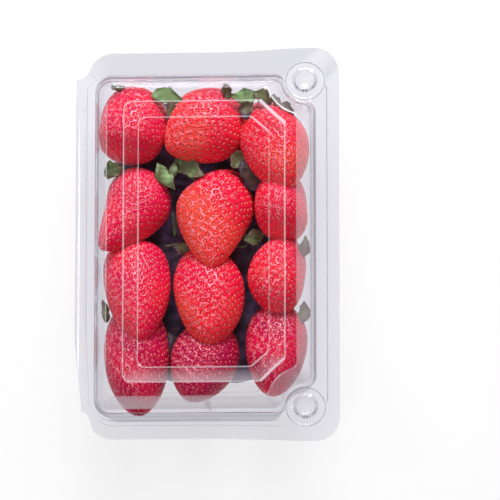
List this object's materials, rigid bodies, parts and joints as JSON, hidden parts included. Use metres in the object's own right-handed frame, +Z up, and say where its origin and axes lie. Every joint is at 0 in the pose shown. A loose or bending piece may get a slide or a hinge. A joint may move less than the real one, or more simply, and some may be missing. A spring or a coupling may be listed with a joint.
{
  "type": "punnet of strawberries",
  "caption": "Clear hinged plastic punnet filled with large ripe strawberries, shut with a flat flanged lid that swings open on its long side.",
  "frame": {"origin": "centre of the punnet's footprint, on the surface that the tray stands on", "axes": "+X from the hinge towards the snap buttons, +Y along the hinge towards the end shown at the top, +Z up out of the lid"},
  "size_m": [0.1256, 0.1914, 0.0424],
  "materials": {
    "clear_plastic": "clear and glossy",
    "strawberry": "moist skin"
  },
  "bodies": {
    "tray body": {"tray": "clear_plastic", "strawberries": "strawberry"},
    "lid body": {"lid": "clear_plastic"}
  },
  "joints": [
    {"name": "lid_hinge", "type": "hinge", "parent": "tray body", "child": "lid body", "pos_m": [-0.063, 0, 0.03417], "axis": [0, -1, 0], "range_deg": [0, 180]}
  ]
}
